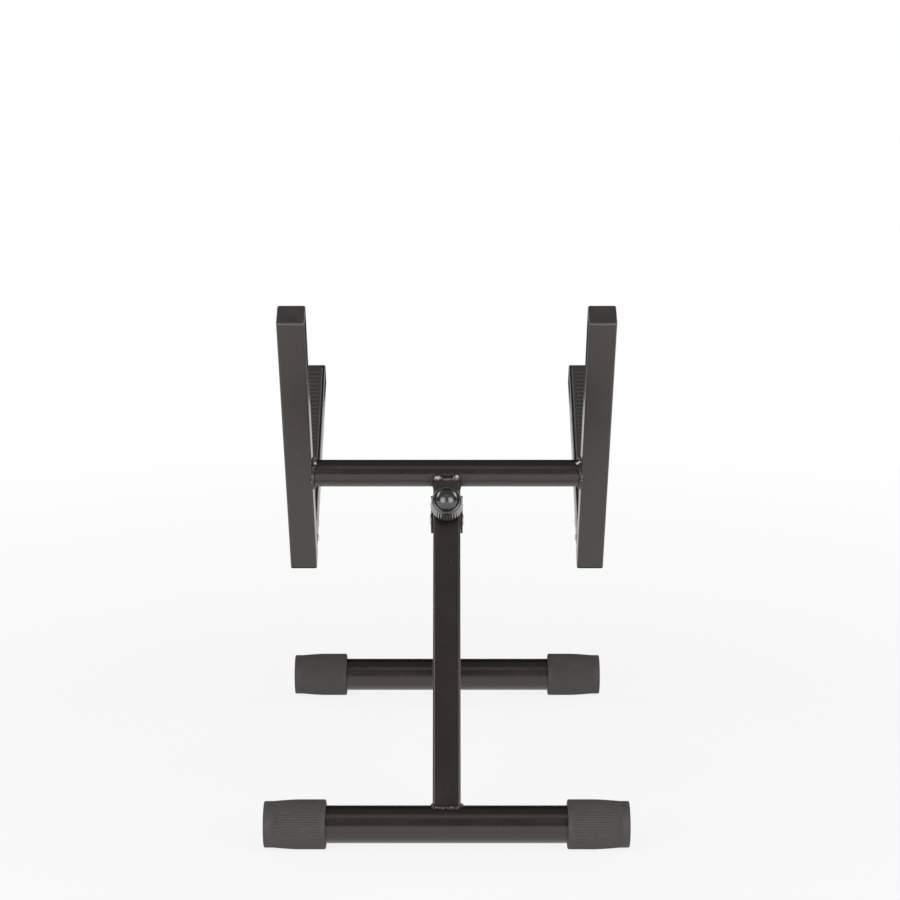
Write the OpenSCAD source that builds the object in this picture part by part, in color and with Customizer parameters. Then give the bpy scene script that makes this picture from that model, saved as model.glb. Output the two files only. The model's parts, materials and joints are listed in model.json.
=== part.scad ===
// Folding amp stand: a tilted cradle with two fold-up shelf arms, carried by a
// rear leg with a clamped, folding front leg. Each leg ends in a cross foot.
//
// Millimetres. +Z is up, +Y points to the front foot, and +X is to the right for
// someone behind the stand. The origin lies on the floor, below the middle.

/* [Square tubes] */
// Side of the square tubes
tube = 25.4; // [24:0.1:28]
// Wall of the square tubes
tube_wall = 1.5; // [1.2:0.1:1.8]
// Outer corner radius of the square tubes
tube_corner = 2; // [1.9:0.1:2.6]
// Thickness of a plastic end plug outside its tube
plug_t = 2; // [1.5:0.1:3]
// Depth of a plastic end plug inside its tube
plug_in = 12; // [8:0.5:16]
// Wall of the hollow part of an end plug
plug_wall = 1.6; // [1.2:0.1:2.2]

/* [Feet] */
// Distance between the centre lines of the two feet, with the stand open
foot_span = 478; // [440:1:520]
// Length of a foot over its rubber caps
foot_len = 330; // [300:1:380]
// Diameter of the foot tubes
foot_d = 34; // [30:0.5:36]
// Wall of the foot tubes
foot_wall = 1.6; // [1.2:0.1:2.4]
// Length of a rubber foot cap
cap_len = 56; // [45:1:70]
// Largest diameter of a foot cap, where it meets the floor
cap_d = 44.8; // [42:0.2:48]
// Diameter of a foot cap at its outer end
cap_end_d = 41.8; // [39:0.2:42]
// Length of the parallel, inner part of a foot cap
cap_straight = 24; // [15:1:30]
// Thickness of the rubber in front of the tube's end
cap_end_t = 5; // [3:0.5:8]
// Bevel around the outer end of a foot cap
cap_bevel = 1.6; // [1:0.1:2.4]

/* [Rear leg and cradle] */
// Rear leg, from the foot's centre line to the crossbar's
rear_leg_len = 334; // [300:1:360]
// Forward lean of the rear leg from upright
rear_lean = 30; // [26:0.5:34]
// How far the top of the rear leg reaches up around the crossbar
leg_saddle = 1.3; // [0.8:0.1:3]
// Diameter of the crossbar
crossbar_d = 25.4; // [22:0.1:26]
// Wall of the crossbar
crossbar_wall = 1.5; // [1.2:0.1:2]
// Length of an upright over its plugs
upright_len = 314; // [280:1:360]
// Width of the cradle over the two uprights
cradle_w = 304; // [260:1:330]
// Backward tilt of the cradle from upright
cradle_tilt = 32; // [28:0.5:36]
// Height of the crossbar's centre along the uprights
crossbar_up = 117; // [100:1:140]

/* [Leg hinge] */
// Distance from the crossbar's centre down the rear leg to the hinge pin
hinge_down = 37.5; // [35:0.5:50]
// Thickness of the hinge bracket's plate
bracket_t = 2; // [1.6:0.1:3]
// Radius of the bracket's ears around the pin
ear_r = 13; // [11:0.5:14]
// Height of the bracket above the pin
bracket_up = 19.5; // [16:0.5:22]
// Diameter of the leg's hinge pin
leg_pin_d = 8; // [6:0.5:10]
// Outer diameter of the bush that the hinge pin runs in
bush_d = 13; // [12:0.5:16]

/* [Clamp knob] */
// Diameter of the clamp screw
screw_d = 8; // [6:0.5:9]
// Outer diameter of the threaded boss
boss_d = 17; // [14:0.5:20]
// Height of the threaded boss
boss_h = 7; // [5:0.5:10]
// Gap between the boss and the knob
knob_lift = 1; // [0.5:0.1:3]
// Diameter of the knob's fluted grip, at the leg
knob_d = 31; // [28:0.5:36]
// How much the grip narrows on each side, up to its shoulder
knob_taper = 1.5; // [0.5:0.1:2]
// Height of the knob's fluted grip
grip_h = 14; // [10:0.5:16]
// Height of the sloping shoulder above the grip
shoulder_h = 4; // [3:0.5:6]
// Diameter of the knob's domed cap
dome_d = 20.5; // [18:0.5:22]
// Height of the knob's domed cap
dome_h = 7; // [4:0.5:8]
// Depth of the recess that the domed cap sits in
cap_seat = 1.5; // [1:0.1:2]
// Number of flutes around the grip
flutes = 36; // [24:1:36]
// Diameter of the cutter that makes a flute
flute_d = 2; // [1.6:0.1:2.2]
// How far the screw reaches into the knob
screw_in = 9; // [6:0.5:10]

/* [Shelf arms] */
// Reach of a shelf arm in front of its upright
arm_reach = 240; // [200:1:280]
// Height of a shelf arm's underside above the upright's lower end
arm_up = 5; // [3:0.5:20]
// Distance of the shelf pin in front of the upright
shelf_pin_out = 22.1; // [22:0.1:26]
// Diameter of the shelf pin
shelf_pin_d = 8; // [6:0.5:9]
// Diameter of the stop pin that holds the arm level
stop_pin_d = 5; // [4:0.5:6]
// Distance of the stop pin behind the shelf pin
stop_back = 14.5; // [14:0.5:16]
// Gap between a lowered arm's rear end and the upright
arm_gap = 1.2; // [0.6:0.1:2]
// Width of the lug that an arm turns on
lug_w = 20; // [16:0.5:20]
// Thickness of the lug's plate
lug_t = 3; // [2:0.1:4]
// Radius of the lug around its pin
lug_r = 8; // [7:0.5:9]
// Height of the lug below its pin, above the stop pin
lug_below = 4.9; // [4:0.1:5]
// Thickness of the rubber pad on an arm
pad_t = 8; // [4:0.5:8]
// Width of the rubber pad
pad_w = 20; // [16:0.5:22]
// Corner radius of the pad's top
pad_round = 3; // [1:0.5:3.5]
// Start of the pad in front of the shelf pin
pad_start = 16; // [14:1:40]
// Bare length of the arm in front of the pad
pad_end_gap = 10; // [5:1:30]

/* [Rivets and fits] */
// Head diameter of a pin, as a share of its shank's diameter
head_ratio = 1.4; // [1.3:0.05:1.6]
// Height of a pin's head
head_h = 1.2; // [1:0.1:2.2]
// Gap between parts that move past each other
move_gap = 0.3; // [0.2:0.05:0.5]
// Radial clearance of a pin that turns in a hole
pin_gap = 0.05; // [0.02:0.01:0.1]
// Radial clearance of a screw in a plain hole
screw_gap = 0.5; // [0.3:0.1:1]
// Clearance of a plug inside its tube, on each side
plug_gap = 0.1; // [0.05:0.05:0.2]

/* [Hidden] */
$fn = 64;
LEFT = -1;
RIGHT = 1;
overshoot = 1;  // what a cutting shape reaches past the face it cuts

steel_black = "#2a2826";
rubber_black = "#3b3836";
plastic_black = "#1c1b1a";
knob_black = "#101010";
zinc = "#a9aaa8";

tube_half = tube / 2;
tube_bore = tube - 2 * tube_wall;
bore_corner = max(tube_corner - tube_wall, 0.3);
foot_z = cap_d / 2;
rear_foot_y = -foot_span / 2;
front_foot_y = foot_span / 2;
foot_tube_len = foot_len - 2 * cap_end_t;

// The hinge pin, measured out from and up along the rear leg
bracket_face = tube_half + bracket_t;
pin_out = bracket_face + move_gap + tube_half;
pin_up = rear_leg_len - hinge_down;
pin_y = rear_foot_y + pin_out * cos(rear_lean) + pin_up * sin(rear_lean);
pin_z = foot_z - pin_out * sin(rear_lean) + pin_up * cos(rear_lean);
front_leg_len = norm([front_foot_y - pin_y, pin_z - foot_z]);
front_lean = atan2(front_foot_y - pin_y, pin_z - foot_z);
ear_inside = tube_half + move_gap;
bracket_half = ear_inside + bracket_t;

// The lower end of the uprights, found from the crossbar that they share
crossbar_y = rear_foot_y + rear_leg_len * sin(rear_lean);
crossbar_z = foot_z + rear_leg_len * cos(rear_lean);
upright_x = cradle_w / 2 - tube_half;
upright_y = crossbar_y + crossbar_up * sin(cradle_tilt) - tube_half * cos(cradle_tilt);
upright_z = crossbar_z - crossbar_up * cos(cradle_tilt) - tube_half * sin(cradle_tilt);

shelf_pin_up = arm_up + tube_half;
arm_front = arm_reach - shelf_pin_out;
arm_rear = arm_gap - shelf_pin_out;
fold_r = shelf_pin_out - 2 * move_gap;
stop_down = lug_below + move_gap + stop_pin_d / 2;
knob_out = tube_half + boss_h + knob_lift;
grip_lean = atan2(knob_taper, grip_h);

// ---- Frames: each puts its children where a main piece is ----

// Up the rear leg, from the foot's centre line. +Y points out of its front face.
module along_rear_leg()
    translate([0, rear_foot_y, foot_z]) rotate([-rear_lean, 0, 0]) children();

// Up the front leg, from the hinge pin. The foot lies at -Z.
module along_front_leg()
    translate([0, pin_y, pin_z]) rotate([front_lean, 0, 0]) children();

// Up one upright, from its lower end. +Y points out of its front face.
module along_upright(side)
    translate([side * upright_x, upright_y, upright_z]) rotate([cradle_tilt, 0, 0])
        translate([0, tube_half, 0]) children();

// Out along one shelf arm, from its pin. +Y points to the arm's front end.
module along_shelf(side)
    along_upright(side) translate([0, tube_half + shelf_pin_out, shelf_pin_up]) children();

// Out of the knob's face, from the rear leg's axis at the height of the pin
module along_clamp()
    along_rear_leg() translate([0, 0, pin_up]) rotate([90, 0, 0]) children();

// ---- Shapes that repeat ----

module rounded_square(side, corner) {
    square([side, side - 2 * corner], center = true);
    square([side - 2 * corner, side], center = true);
    for (x = [-1, 1], y = [-1, 1])
        translate([x, y] * (side / 2 - corner)) circle(corner);
}

module square_tube(length)
    linear_extrude(length) difference() {
        rounded_square(tube, tube_corner);
        rounded_square(tube_bore, bore_corner);
    }

module across(d, length)
    rotate([0, 90, 0]) cylinder(d = d, h = length, center = true);

module foot_tube(y)
    color(steel_black) translate([0, y, foot_z]) difference() {
        across(foot_d, foot_tube_len);
        across(foot_d - 2 * foot_wall, foot_tube_len + 2 * overshoot);
    }

// A rubber cap, drawn from its outer end inwards
module foot_cap(side, y)
    color(rubber_black) translate([side * foot_len / 2, y, foot_z]) rotate([0, -90 * side, 0])
        difference() {
            rotate_extrude() polygon([
                [0, 0],
                [cap_end_d / 2 - cap_bevel, 0],
                [cap_end_d / 2, cap_bevel],
                [cap_d / 2, cap_len - cap_straight],
                [cap_d / 2, cap_len],
                [0, cap_len]
            ]);
            translate([0, 0, cap_end_t]) cylinder(d = foot_d, h = cap_len);
        }

// A plug that closes a tube's end. +Z points out of the tube.
module end_plug()
    color(plastic_black) {
        linear_extrude(plug_t) rounded_square(tube, tube_corner);
        translate([0, 0, -plug_in]) linear_extrude(plug_in) difference() {
            rounded_square(tube_bore - 2 * plug_gap, bore_corner);
            rounded_square(tube_bore - 2 * plug_gap - 2 * plug_wall, bore_corner);
        }
    }

// A pin along X with a low head at each end of what it holds together
module riveted_pin(d, grip)
    color(zinc) {
        across(d, grip);
        for (side = [LEFT, RIGHT])
            translate([side * grip / 2, 0, 0]) rotate([0, 90 * side, 0])
                cylinder(d1 = head_ratio * d, d2 = d, h = head_h);
    }

// ---- Rear leg and its foot ----

module rear_leg()
    color(steel_black) along_rear_leg() difference() {
        square_tube(rear_leg_len - crossbar_d / 2 + leg_saddle);
        across(foot_d, 2 * tube);
        translate([0, 0, rear_leg_len]) across(crossbar_d, 2 * tube);
        translate([0, 0, pin_up]) rotate([90, 0, 0])
            cylinder(d = screw_d + 2 * screw_gap, h = 2 * tube, center = true);
    }

module crossbar()
    color(steel_black) translate([0, crossbar_y, crossbar_z]) difference() {
        across(crossbar_d, cradle_w - 2 * tube);
        across(crossbar_d - 2 * crossbar_wall, cradle_w);
    }

// Side view of a bracket ear: y is out from the leg, z is up from the pin
module ear_outline() {
    slope = 60;
    touch = [pin_out + ear_r * cos(slope), ear_r * sin(slope)];
    top_y = touch.x - (bracket_up - touch.y) * tan(slope);
    polygon([[tube_half, -ear_r], [pin_out, -ear_r], touch,
             [top_y, bracket_up], [tube_half, bracket_up]]);
    translate([pin_out, 0]) circle(ear_r);
}

module hinge_bracket()
    color(steel_black) along_rear_leg() translate([0, 0, pin_up]) difference() {
        union() {
            for (side = [LEFT, RIGHT])
                translate([side * (ear_inside + bracket_t / 2), 0, 0])
                    rotate([90, 0, 90]) linear_extrude(bracket_t, center = true)
                        ear_outline();
            translate([-bracket_half, tube_half, -ear_r])
                cube([2 * bracket_half, bracket_t, ear_r + bracket_up]);
        }
        translate([0, pin_out, 0]) across(leg_pin_d, 4 * tube);
        rotate([90, 0, 0]) cylinder(d = screw_d + 2 * screw_gap, h = 2 * tube, center = true);
    }

module leg_hinge_pin()
    along_rear_leg() translate([0, pin_out, pin_up])
        riveted_pin(leg_pin_d, 2 * bracket_half);

// ---- Clamp knob ----

module clamp_boss()
    color(steel_black) along_clamp() translate([0, 0, tube_half]) difference() {
        cylinder(d = boss_d, h = boss_h);
        translate([0, 0, -overshoot])
            cylinder(d = screw_d + 2 * pin_gap, h = boss_h + 2 * overshoot);
    }

module knob_grip()
    color(knob_black) along_clamp() translate([0, 0, knob_out]) difference() {
        union() {
            cylinder(d1 = knob_d, d2 = knob_d - 2 * knob_taper, h = grip_h);
            translate([0, 0, grip_h])
                cylinder(d1 = knob_d - 2 * knob_taper, d2 = dome_d + 1, h = shoulder_h);
        }
        // Each flute follows the slope of the grip, and runs out in the shoulder
        for (i = [0 : flutes - 1]) rotate(360 * i / flutes)
            translate([(knob_d + flute_d / 2) / 2, 0, 0]) rotate([0, -grip_lean, 0])
                translate([0, 0, -overshoot])
                    cylinder(d = flute_d, h = grip_h + 2 * overshoot, $fn = 24);
        translate([0, 0, -overshoot]) cylinder(d = screw_d, h = screw_in + overshoot);
        translate([0, 0, grip_h + shoulder_h - cap_seat])
            cylinder(d = dome_d, h = cap_seat + overshoot);
    }

module knob_cap() {
    dome_r = (pow(dome_d / 2, 2) + pow(dome_h, 2)) / (2 * dome_h);
    rim = grip_h + shoulder_h;
    color(knob_black) along_clamp() translate([0, 0, knob_out + rim]) {
        translate([0, 0, -cap_seat]) cylinder(d = dome_d, h = cap_seat);
        intersection() {
            translate([0, 0, dome_h - dome_r]) sphere(dome_r);
            cylinder(d = dome_d, h = dome_h + overshoot);
        }
    }
}

module clamp_screw()
    color(zinc) along_clamp() translate([0, 0, -bracket_face])
        cylinder(d = screw_d, h = bracket_face + knob_out + screw_in);

// ---- Folding front leg and its foot ----

module front_leg()
    color(steel_black) difference() {
        along_front_leg() difference() {
            translate([0, 0, -front_leg_len]) square_tube(front_leg_len + tube);
            translate([0, 0, -front_leg_len]) across(foot_d, 2 * tube);
            across(leg_pin_d + 2 * pin_gap, 2 * tube);
            // The lower corner is rounded, so that it clears the bracket as the leg folds
            difference() {
                translate([-tube, -tube, 0]) cube([2 * tube, tube, 2 * tube]);
                across(tube, 2 * tube);
            }
        }
        // The end is cut to lie against the bracket when the leg is open
        along_rear_leg() translate([-tube, -2 * tube, 0])
            cube([2 * tube, 2 * tube + bracket_face + move_gap, rear_leg_len]);
    }

module leg_hinge_bush()
    color(zinc) along_front_leg() difference() {
        across(bush_d, tube_bore);
        across(leg_pin_d + 2 * pin_gap, tube);
    }

// ---- Cradle ----

module upright(side)
    color(steel_black) along_upright(side) translate([0, 0, plug_t])
        square_tube(upright_len - 2 * plug_t);

module upright_top_plug(side)
    along_upright(side) translate([0, 0, upright_len - plug_t]) end_plug();

module upright_bottom_plug(side)
    along_upright(side) translate([0, 0, plug_t]) rotate([180, 0, 0]) end_plug();

module shelf_lug(side)
    color(steel_black) along_shelf(side) difference() {
        rotate([90, 0, 90]) linear_extrude(lug_w, center = true) {
            translate([-shelf_pin_out, -lug_below]) square([shelf_pin_out, lug_below + lug_r]);
            circle(lug_r);
        }
        translate([lug_t - lug_w / 2, lug_t - shelf_pin_out, -tube])
            cube([lug_w - 2 * lug_t, tube + shelf_pin_out, 2 * tube]);
        across(shelf_pin_d + 2 * pin_gap, tube);
    }

// ---- Shelf arms ----

module shelf_arm(side)
    color(steel_black) along_shelf(side) difference() {
        translate([0, arm_rear, 0]) rotate([-90, 0, 0])
            square_tube(arm_front - plug_t - arm_rear);
        // The upper corner is rounded, so that it clears the upright as the arm folds
        difference() {
            translate([-tube, -2 * tube, 0]) cube([2 * tube, 2 * tube, tube]);
            across(2 * fold_r, 4 * tube);
        }
        // The top is open behind the pad, where the lug comes through
        translate([-lug_w / 2 - move_gap, -2 * tube, 0])
            cube([lug_w + 2 * move_gap, 2 * tube + lug_r + 2 * move_gap, tube]);
        across(shelf_pin_d, 2 * tube);
        translate([0, -stop_back, -stop_down]) across(stop_pin_d, 2 * tube);
    }

module shelf_pad(side) {
    pad_len = arm_front - pad_end_gap - pad_start;
    color(rubber_black) along_shelf(side) translate([0, pad_start, tube_half])
        rotate([-90, 0, 0]) linear_extrude(pad_len) {
            translate([-pad_w / 2, pad_round - pad_t]) square([pad_w, pad_t - pad_round]);
            translate([pad_round - pad_w / 2, -pad_t]) square([pad_w - 2 * pad_round, pad_t]);
            for (edge = [LEFT, RIGHT])
                translate([edge * (pad_w / 2 - pad_round), pad_round - pad_t])
                    circle(pad_round);
        }
}

module shelf_end_plug(side)
    along_shelf(side) translate([0, arm_front - plug_t, 0]) rotate([-90, 0, 0]) end_plug();

module shelf_pin(side)
    along_shelf(side) riveted_pin(shelf_pin_d, tube);

module shelf_stop_pin(side)
    along_shelf(side) translate([0, -stop_back, -stop_down]) riveted_pin(stop_pin_d, tube);

// ---- Every piece, each under its own name ----

foot_tube(rear_foot_y);  // rear_foot_tube
foot_cap(LEFT, rear_foot_y);  // rear_left_foot_cap
foot_cap(RIGHT, rear_foot_y);  // rear_right_foot_cap
rear_leg();
crossbar();
upright(LEFT);  // left_upright
upright(RIGHT);  // right_upright
upright_top_plug(LEFT);  // left_upright_top_plug
upright_top_plug(RIGHT);  // right_upright_top_plug
upright_bottom_plug(LEFT);  // left_upright_bottom_plug
upright_bottom_plug(RIGHT);  // right_upright_bottom_plug
hinge_bracket();
leg_hinge_pin();
clamp_boss();
shelf_lug(LEFT);  // left_shelf_lug
shelf_lug(RIGHT);  // right_shelf_lug
front_leg();
leg_hinge_bush();
foot_tube(front_foot_y);  // front_foot_tube
foot_cap(LEFT, front_foot_y);  // front_left_foot_cap
foot_cap(RIGHT, front_foot_y);  // front_right_foot_cap
knob_grip();
knob_cap();
clamp_screw();
shelf_arm(LEFT);  // left_shelf_arm
shelf_pad(LEFT);  // left_shelf_pad
shelf_end_plug(LEFT);  // left_shelf_end_plug
shelf_pin(LEFT);  // left_shelf_pin
shelf_stop_pin(LEFT);  // left_shelf_stop_pin
shelf_arm(RIGHT);  // right_shelf_arm
shelf_pad(RIGHT);  // right_shelf_pad
shelf_end_plug(RIGHT);  // right_shelf_end_plug
shelf_pin(RIGHT);  // right_shelf_pin
shelf_stop_pin(RIGHT);  // right_shelf_stop_pin
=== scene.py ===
"""Looks of a folding amp stand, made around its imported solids.

The steel tubes are shown as packed, under a powder coat. Foot caps, knob, plugs, pins,
pads, plates and weld beads are modelled here, at the places that the solids give.
Metres. +Z is up, +Y points to the front foot, +X is to the right for someone behind.
"""

import json
from math import atan2, cos, degrees, pi, radians, sin, sqrt

import bmesh
import bpy
from mathutils import Matrix, Vector


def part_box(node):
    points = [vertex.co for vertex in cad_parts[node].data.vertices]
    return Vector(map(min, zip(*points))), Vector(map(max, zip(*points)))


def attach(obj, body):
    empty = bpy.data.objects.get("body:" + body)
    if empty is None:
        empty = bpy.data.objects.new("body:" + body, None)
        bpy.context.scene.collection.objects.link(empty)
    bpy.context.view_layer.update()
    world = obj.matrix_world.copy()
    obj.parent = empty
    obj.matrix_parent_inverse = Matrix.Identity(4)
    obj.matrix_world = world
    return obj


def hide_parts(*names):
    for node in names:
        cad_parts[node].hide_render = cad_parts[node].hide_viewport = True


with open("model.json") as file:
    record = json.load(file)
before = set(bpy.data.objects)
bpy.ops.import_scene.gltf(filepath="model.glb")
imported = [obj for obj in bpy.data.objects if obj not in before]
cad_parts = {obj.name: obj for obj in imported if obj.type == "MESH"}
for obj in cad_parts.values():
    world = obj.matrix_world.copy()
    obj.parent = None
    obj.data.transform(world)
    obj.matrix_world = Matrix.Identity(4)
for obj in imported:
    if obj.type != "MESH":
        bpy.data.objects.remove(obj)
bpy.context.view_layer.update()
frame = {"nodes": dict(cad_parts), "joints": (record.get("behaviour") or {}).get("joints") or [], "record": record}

MM = 0.001
X_AXIS = Vector((1, 0, 0))
LEFT, RIGHT = -1, 1
SIDES = {"left": LEFT, "right": RIGHT}

# ---- Camera ----

CAMERA_PLACE = (0.003, -2.4247, 0.8071)
CAMERA_DOWN = radians(11.37)
CAMERA_LENS = 101.64
CAMERA_SENSOR = 36.0


def make_camera():
    """The photograph's view: from behind the stand and a little above it."""
    data = bpy.data.cameras.new("camera")
    data.lens = CAMERA_LENS
    data.sensor_width = CAMERA_SENSOR
    camera = bpy.data.objects.new("camera", data)
    camera.location = CAMERA_PLACE
    camera.rotation_euler = (pi / 2 - CAMERA_DOWN, 0, 0)
    bpy.context.scene.collection.objects.link(camera)
    bpy.context.scene.camera = camera


# ---- Node trees written as expressions ----


class Value:
    """A socket that is used like a number: each operator adds its Math node."""

    def __init__(self, graph, socket):
        self.graph, self.socket = graph, socket

    def math(self, operation, *others):
        inputs = dict(enumerate((self, *others)))
        return self.graph.add("ShaderNodeMath", {"operation": operation}, inputs)

    def other(self, name):
        """Another output of the same node."""
        return Value(self.graph, self.graph.find(self.socket.node.outputs, name))

    def __add__(self, other):
        return self.math("ADD", other)

    def __sub__(self, other):
        return self.math("SUBTRACT", other)

    def __rsub__(self, other):
        return self * -1 + other

    def __mul__(self, other):
        return self.math("MULTIPLY", other)

    def __truediv__(self, other):
        return self.math("DIVIDE", other)

    def __rtruediv__(self, other):
        return self.math("POWER", -1) * other

    __radd__ = __add__
    __rmul__ = __mul__

    def clamped(self):
        """The value, kept from 0 to 1."""
        return self.math("MAXIMUM", 0).math("MINIMUM", 1)

    def above(self, start, width):
        """0 up to start, and 1 from start + width."""
        return ((self - start) / width).clamped()


class Graph:
    """A node tree, and the one way in which nodes are added to it."""

    def __init__(self, tree):
        self.tree = tree

    @staticmethod
    def find(sockets, key):
        if isinstance(key, int):
            return sockets[key]
        return next(s for s in sockets if s.enabled and key in (None, s.name))

    def add(self, kind, settings=None, inputs=None, output=None):
        """Adds a node, sets its settings and then its sockets, and returns one output."""
        node = self.tree.nodes.new(kind)
        for name, setting in (settings or {}).items():
            setattr(node, name, setting)
        for key, value in (inputs or {}).items():
            socket = self.find(node.inputs, key)
            if isinstance(value, Value):
                self.tree.links.new(value.socket, socket)
            else:
                socket.default_value = value
        return Value(self, self.find(node.outputs, output)) if len(node.outputs) else None

    def mix(self, factor, low, high):
        """A colour from low to high."""
        low, high = (v if isinstance(v, Value) else (*v, 1) for v in (low, high))
        return self.add("ShaderNodeMix", {"data_type": "RGBA"}, {"Factor": factor, "A": low, "B": high})

    def noise(self, place, scale, detail=2.0, settings=None, **inputs):
        """Noise with features of about 1 / scale metres."""
        return self.add("ShaderNodeTexNoise", settings,
                        {"Vector": place, "Scale": scale, "Detail": detail, **inputs})


# ---- Finishes ----

EDGE_HIGHLIGHT = "edge_highlight"         # mesh attribute: where a plug's rounded edge is painted paler, as a highlight, from 0 to 1

# Colours, linear. Tones are the darkest and the lightest one of a cloudy surface.
COAT_TONES = (0.010, 0.0072, 0.0062), (0.016, 0.0115, 0.0098)
COAT_RUBBED, COAT_DUST = (0.080, 0.072, 0.066), (0.20, 0.185, 0.165)
COAT_SHEEN = (1.0, 0.92, 0.87, 1.0)
CAP_TONES, CAP_DUST = ((0.050, 0.0440, 0.0430), (0.074, 0.0650, 0.0640)), (0.16, 0.15, 0.14)
PAD_TONES = (0.030, 0.029, 0.028), (0.052, 0.050, 0.048)
PLUG_TONES = (0.040, 0.0345, 0.0335), (0.057, 0.0490, 0.0475)
# Painted highlight: the paler colour laid along the plugs' rounded edges.
PLUG_EDGE_HIGHLIGHT = (0.105, 0.0950, 0.0930)
# Painted shade: the plugs under the uprights and the hinge bracket get darker tones than the plug plastic and the
# coat.
LOW_PLUG_SHADED_TONE, BRACKET_SHADED_TONE = (0.006, 0.0055, 0.0055), (0.0085, 0.0075, 0.0070)
DULL_DUST = (0.10, 0.095, 0.09)
KNOB_TONES = (0.012, 0.012, 0.012), (0.020, 0.0195, 0.019)
DOME_TONES = (0.010, 0.010, 0.010), (0.017, 0.0165, 0.016)
ZINC, DULL_ZINC = (0.62, 0.62, 0.60), (0.36, 0.35, 0.33)
TURNED_STEEL, DULL_STEEL = (0.50, 0.50, 0.49), (0.26, 0.24, 0.22)


class Finish(Graph):
    """A material whose surface is one Principled shader."""

    def __init__(self, name, **constants):
        self.material = bpy.data.materials.new(name)
        self.material.use_nodes = True
        super().__init__(self.material.node_tree)
        self.surface = self.tree.nodes["Principled BSDF"]
        for socket, value in constants.items():
            self.surface.inputs[socket.replace("_", " ")].default_value = value
        self.place = self.add("ShaderNodeTexCoord", output="Object")

    def shade(self, socket, value):
        self.tree.links.new(value.socket, self.surface.inputs[socket])

    def bump(self, height, depth):
        """Raises the surface by up to depth where height is 1."""
        self.shade("Normal", self.add("ShaderNodeBump", None,
                                      {"Strength": 1.0, "Distance": depth, "Height": height}))

    def stretched(self, scale):
        """The place on the piece, stretched along its axes."""
        return self.add("ShaderNodeMapping", None, {"Vector": self.place, "Scale": scale})


def powder_coat(name, pooled, pool_start=0.54, gloss=1.5):
    """Satin black powder coat: fine orange peel, faint mottling and a few worn spots.
    Where it has pooled, in spots on the welds, it shines. A low start makes more spots."""
    coat = Finish(name, IOR=1.7, Specular_Tint=COAT_SHEEN, Coat_Roughness=0.06, Coat_IOR=gloss)
    pools = coat.noise(coat.place, 330, 2).above(pool_start, 0.05) * pooled
    coat.shade("Coat Weight", pools)
    mottle = coat.noise(coat.place, 28, 4)
    peel = coat.noise(coat.place, 620, 2)
    speck = coat.noise(coat.place, 2600, 1)
    rubbing_and_highlight = coat.noise(coat.stretched((1.0, 1.0, 0.35)), 130, 5).above(0.66, 0.08)
    dust = coat.noise(coat.place, 900, 3).above(0.70, 0.10) * mottle.above(0.45, 0.2)
    tone = coat.mix(rubbing_and_highlight * 0.30, coat.mix(mottle, *COAT_TONES), COAT_RUBBED)
    coat.shade("Base Color", coat.mix(dust * 0.30, tone, COAT_DUST))
    coat.shade("Roughness", 0.17 + 0.14 * pooled + mottle * 0.10 + speck * 0.06 - rubbing_and_highlight * 0.05)
    coat.bump(peel * 0.8 + speck * 0.2, 0.00006)
    return coat.material


def cap_rubber():
    """Matt black rubber, a little grey with use, with mould grain and pale dust."""
    rubber = Finish("ribbed_foot_rubber", IOR=1.48)
    cloud = rubber.noise(rubber.place, 35, 4)
    grain = rubber.noise(rubber.place, 1500, 3)
    dust = rubber.noise(rubber.place, 420, 5).above(0.58, 0.12)
    rubber.shade("Base Color", rubber.mix(dust * 0.22, rubber.mix(cloud, *CAP_TONES), CAP_DUST))
    rubber.shade("Roughness", 0.66 + cloud * 0.12 + dust * 0.1)
    rubber.bump(grain, 0.00008)
    return rubber.material


def pad_rubber():
    """Softer black rubber of the shelf pads, a little cloudy along their length."""
    rubber = Finish("shelf_pad_rubber", IOR=1.5)
    cloud = rubber.noise(rubber.stretched((1.0, 0.3, 1.0)), 60, 4)
    grain = rubber.noise(rubber.place, 1900, 2)
    rubber.shade("Base Color", rubber.mix(cloud, *PAD_TONES))
    rubber.shade("Roughness", 0.58 + cloud * 0.2)
    rubber.bump(grain, 0.00006)
    return rubber.material


def plug_plastic():
    """Moulded black plastic with a fine spark-eroded grain, painted paler along its rounded edges as a highlight.
    """
    plastic = Finish("moulded_plug_plastic", IOR=1.47)
    grain = plastic.add("ShaderNodeTexVoronoi", {"feature": "SMOOTH_F1"},
                        {"Vector": plastic.place, "Scale": 1900.0}, "Distance")
    cloud = plastic.noise(plastic.place, 90, 3)
    # Painted highlight along the rounded edges, broken up a little by noise.
    rubbing_and_highlight = plastic.add("ShaderNodeAttribute", {"attribute_name": EDGE_HIGHLIGHT}, output="Fac")
    rubbing_and_highlight = rubbing_and_highlight * (0.6 + plastic.noise(plastic.place, 700, 3).above(0.35, 0.3) * 0.4)
    tone = plastic.mix(cloud, *PLUG_TONES)
    plastic.shade("Base Color", plastic.mix(rubbing_and_highlight, tone, PLUG_EDGE_HIGHLIGHT))
    plastic.shade("Roughness", 0.36 + grain * 0.16 + rubbing_and_highlight * 0.06)
    plastic.bump(grain, 0.00005)
    return plastic.material


def shaded_dull_black(name, shine, base):
    """Dull black with a fine grain, a little dusty: a darker, duller copy of the plug plastic and of the frame's
    coat, with painted shade, for the low plugs and the hinge bracket.
    """
    dull = Finish(name, IOR=1.47, Specular_IOR_Level=shine)
    grain = dull.noise(dull.place, 1700, 2)
    dust = dull.noise(dull.place, 500, 4).above(0.62, 0.10)
    dull.shade("Base Color", dull.mix(dust * 0.15, base, DULL_DUST))
    dull.shade("Roughness", 0.62 + grain * 0.2)
    dull.bump(grain, 0.00004)
    return dull.material


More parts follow.
